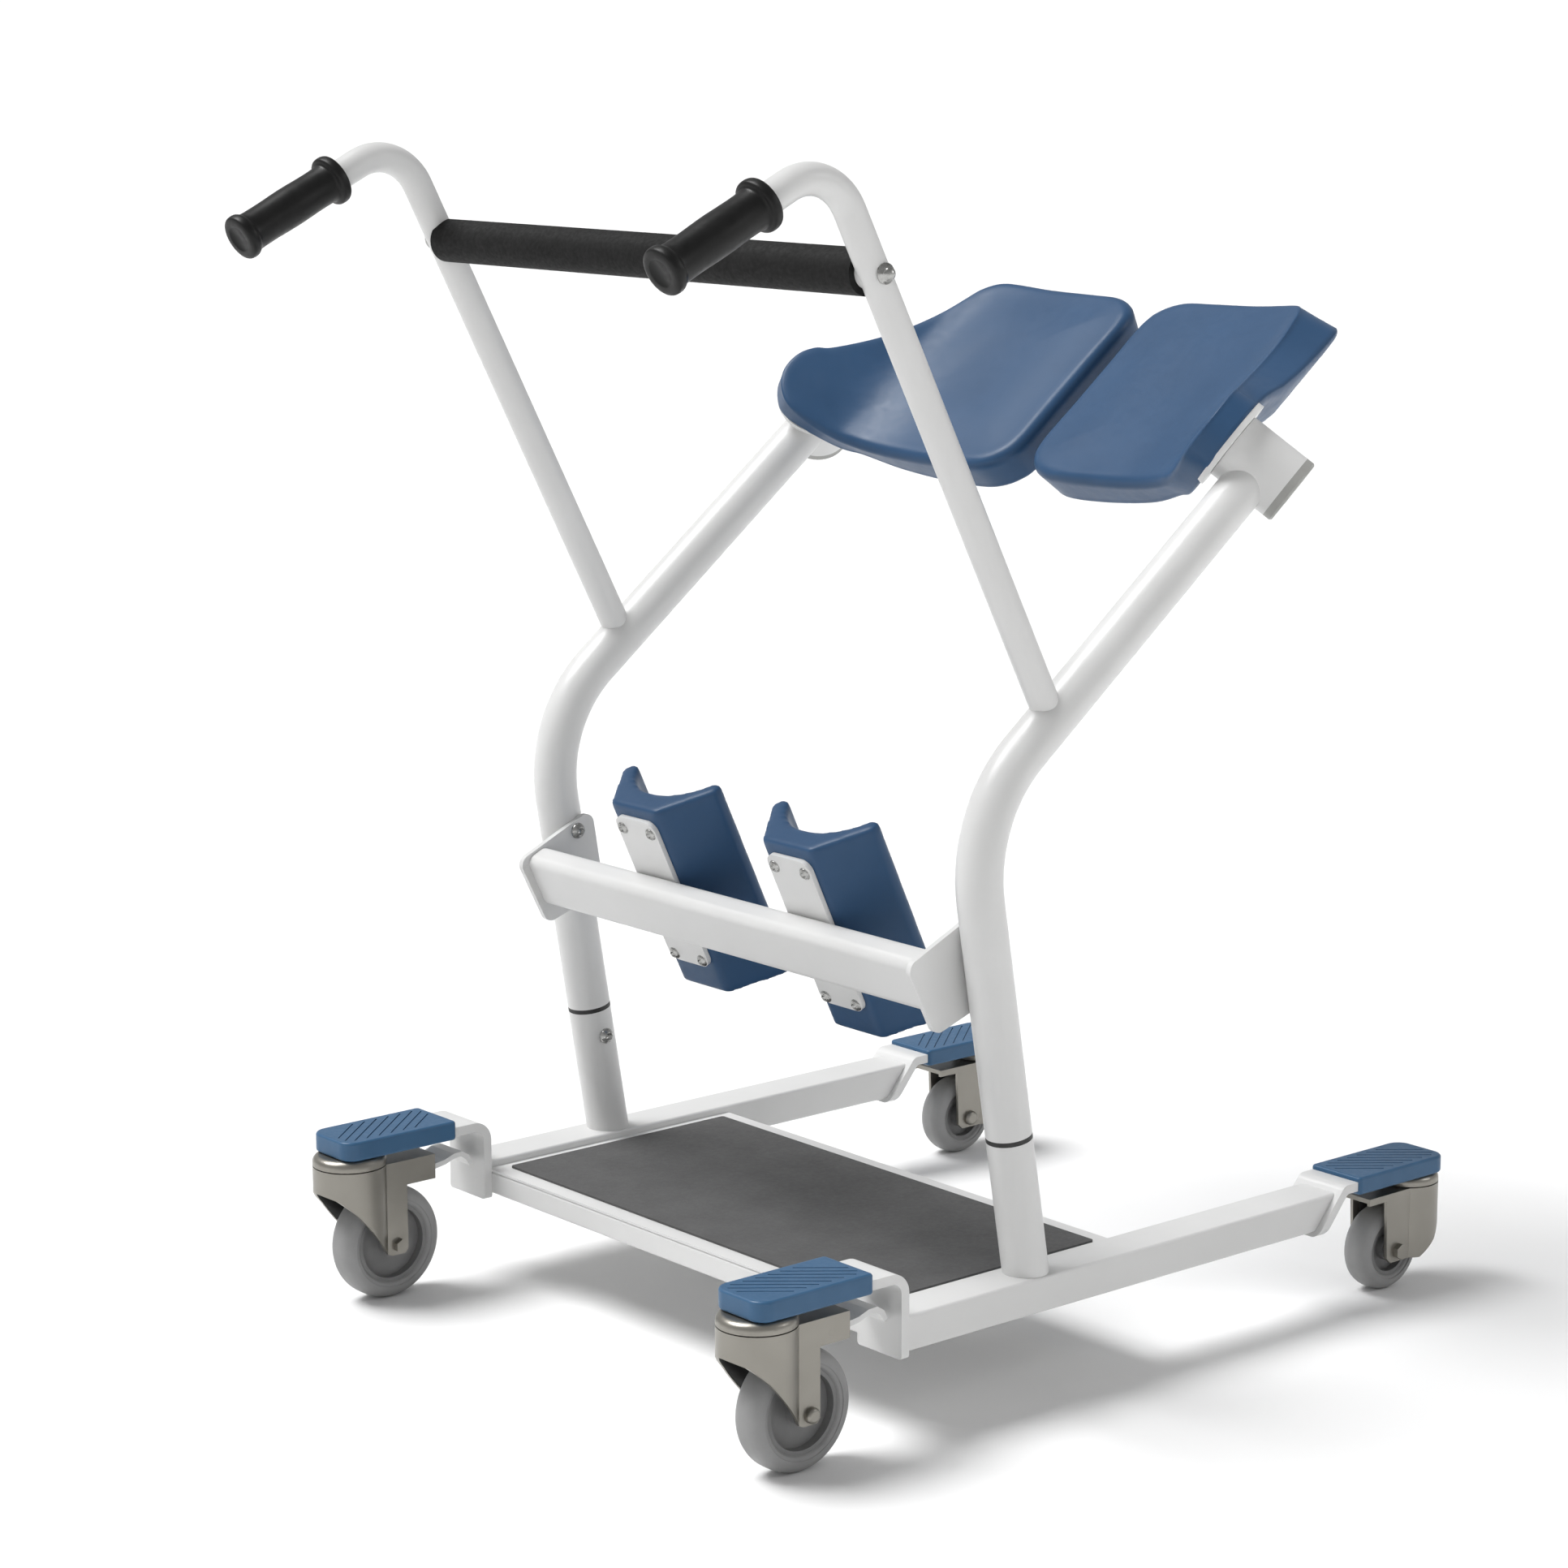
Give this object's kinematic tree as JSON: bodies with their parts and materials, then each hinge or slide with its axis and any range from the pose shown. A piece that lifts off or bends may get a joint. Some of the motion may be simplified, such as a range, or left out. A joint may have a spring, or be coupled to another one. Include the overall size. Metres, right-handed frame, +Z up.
{
  "type": "sit to stand lift",
  "caption": "White tubular sit to stand lift on swivel casters, with swinging seat halves, knee pads, push handles, a crossbar and a low footplate between two rails.",
  "frame": {"origin": "on the floor, below the middle of the whole lift", "axes": "+Z up; -Y towards the push handles and the front casters; +Y towards the seat and the back casters; +X to the right when looking towards +Y"},
  "size_m": [0.6374, 0.8628, 0.9956],
  "materials": {
    "frame_white": "satin",
    "fork_nickel": "satin",
    "bolt_zinc": "polished",
    "tyre_grey": "matte",
    "hub_grey": "matte",
    "mat_rubber": "matte",
    "cover_blue": "satin",
    "pad_blue": "satin",
    "ring_black": "matte",
    "grip_black": "satin",
    "sleeve_black": "matte",
    "cap_grey": "satin"
  },
  "bodies": {
    "frame": {"side_rail_right": "frame_white", "side_rail_left": "frame_white", "cross_tubes": "frame_white", "footplate_tray": "frame_white", "footplate_mat": "mat_rubber", "front_brackets": "frame_white", "back_brackets": "frame_white", "front_cover_right": "cover_blue", "front_cover_left": "cover_blue", "back_cover_right": "cover_blue", "back_cover_left": "cover_blue", "front_caster_heads": "fork_nickel", "back_caster_heads": "fork_nickel", "leg_sockets": "frame_white", "leg_rings": "ring_black", "leg_bolts": "bolt_zinc", "leg_tube_right": "frame_white", "leg_tube_left": "frame_white", "handle_tube_right": "frame_white", "handle_tube_left": "frame_white", "grip_right": "grip_black", "grip_left": "grip_black", "crossbar_tube": "frame_white", "crossbar_sleeve": "sleeve_black", "crossbar_bolts": "bolt_zinc", "knee_bar": "frame_white", "knee_bar_plates": "frame_white", "knee_bar_bolts": "bolt_zinc", "knee_pad_straps": "frame_white", "knee_pad_screws": "bolt_zinc", "knee_pad_right": "pad_blue", "knee_pad_left": "pad_blue", "seat_housing_right": "frame_white", "seat_housing_left": "frame_white", "seat_housing_caps": "cap_grey"},
    "front_fork_right": {"front_fork_right": "fork_nickel", "front_axle_right": "fork_nickel"},
    "front_wheel_right": {"front_tyre_right": "tyre_grey", "front_hub_right": "hub_grey"},
    "brake_right": {"brake_pedal_right": "frame_white"},
    "back_fork_right": {"back_fork_right": "fork_nickel", "back_axle_right": "fork_nickel"},
    "back_wheel_right": {"back_tyre_right": "tyre_grey", "back_hub_right": "hub_grey"},
    "seat_half_right": {"seat_carrier_right": "frame_white", "seat_pad_right": "pad_blue"},
    "front_fork_left": {"front_fork_left": "fork_nickel", "front_axle_left": "fork_nickel"},
    "front_wheel_left": {"front_tyre_left": "tyre_grey", "front_hub_left": "hub_grey"},
    "brake_left": {"brake_pedal_left": "frame_white"},
    "back_fork_left": {"back_fork_left": "fork_nickel", "back_axle_left": "fork_nickel"},
    "back_wheel_left": {"back_tyre_left": "tyre_grey", "back_hub_left": "hub_grey"},
    "seat_half_left": {"seat_carrier_left": "frame_white", "seat_pad_left": "pad_blue"}
  },
  "joints": [
    {"name": "front_swivel_right", "type": "hinge", "parent": "frame", "child": "front_fork_right", "pos_m": [0.275, -0.33959, 0.11], "axis": [0, 0, 1], "continuous": true},
    {"name": "front_roll_right", "type": "hinge", "parent": "front_fork_right", "child": "front_wheel_right", "pos_m": [0.275, -0.30459, 0.05], "axis": [1, 0, 0], "continuous": true},
    {"name": "brake_press_right", "type": "hinge", "parent": "front_fork_right", "child": "brake_right", "pos_m": [0.275, -0.28359, 0.1112], "axis": [-1, 0, 0], "range_deg": [0, 12]},
    {"name": "back_swivel_right", "type": "hinge", "parent": "frame", "child": "back_fork_right", "pos_m": [0.275, 0.40341, 0.08], "axis": [0, 0, 1], "continuous": true},
    {"name": "back_roll_right", "type": "hinge", "parent": "back_fork_right", "child": "back_wheel_right", "pos_m": [0.275, 0.37141, 0.0375], "axis": [1, 0, 0], "continuous": true},
    {"name": "seat_swing_right", "type": "hinge", "parent": "frame", "child": "seat_half_right", "pos_m": [0.275, 0.19541, 0.737], "axis": [0.6428, 0.4716, -0.6037], "range_deg": [0, 110]},
    {"name": "front_swivel_left", "type": "hinge", "parent": "frame", "child": "front_fork_left", "pos_m": [-0.275, -0.33959, 0.11], "axis": [0, 0, 1], "continuous": true},
    {"name": "front_roll_left", "type": "hinge", "parent": "front_fork_left", "child": "front_wheel_left", "pos_m": [-0.275, -0.30459, 0.05], "axis": [1, 0, 0], "continuous": true},
    {"name": "brake_press_left", "type": "hinge", "parent": "front_fork_left", "child": "brake_left", "pos_m": [-0.275, -0.28359, 0.1112], "axis": [-1, 0, 0], "range_deg": [0, 12]},
    {"name": "back_swivel_left", "type": "hinge", "parent": "frame", "child": "back_fork_left", "pos_m": [-0.275, 0.40341, 0.08], "axis": [0, 0, 1], "continuous": true},
    {"name": "back_roll_left", "type": "hinge", "parent": "back_fork_left", "child": "back_wheel_left", "pos_m": [-0.275, 0.37141, 0.0375], "axis": [1, 0, 0], "continuous": true},
    {"name": "seat_swing_left", "type": "hinge", "parent": "frame", "child": "seat_half_left", "pos_m": [-0.275, 0.19541, 0.737], "axis": [0.6428, -0.4716, 0.6037], "range_deg": [0, 110]}
  ]
}
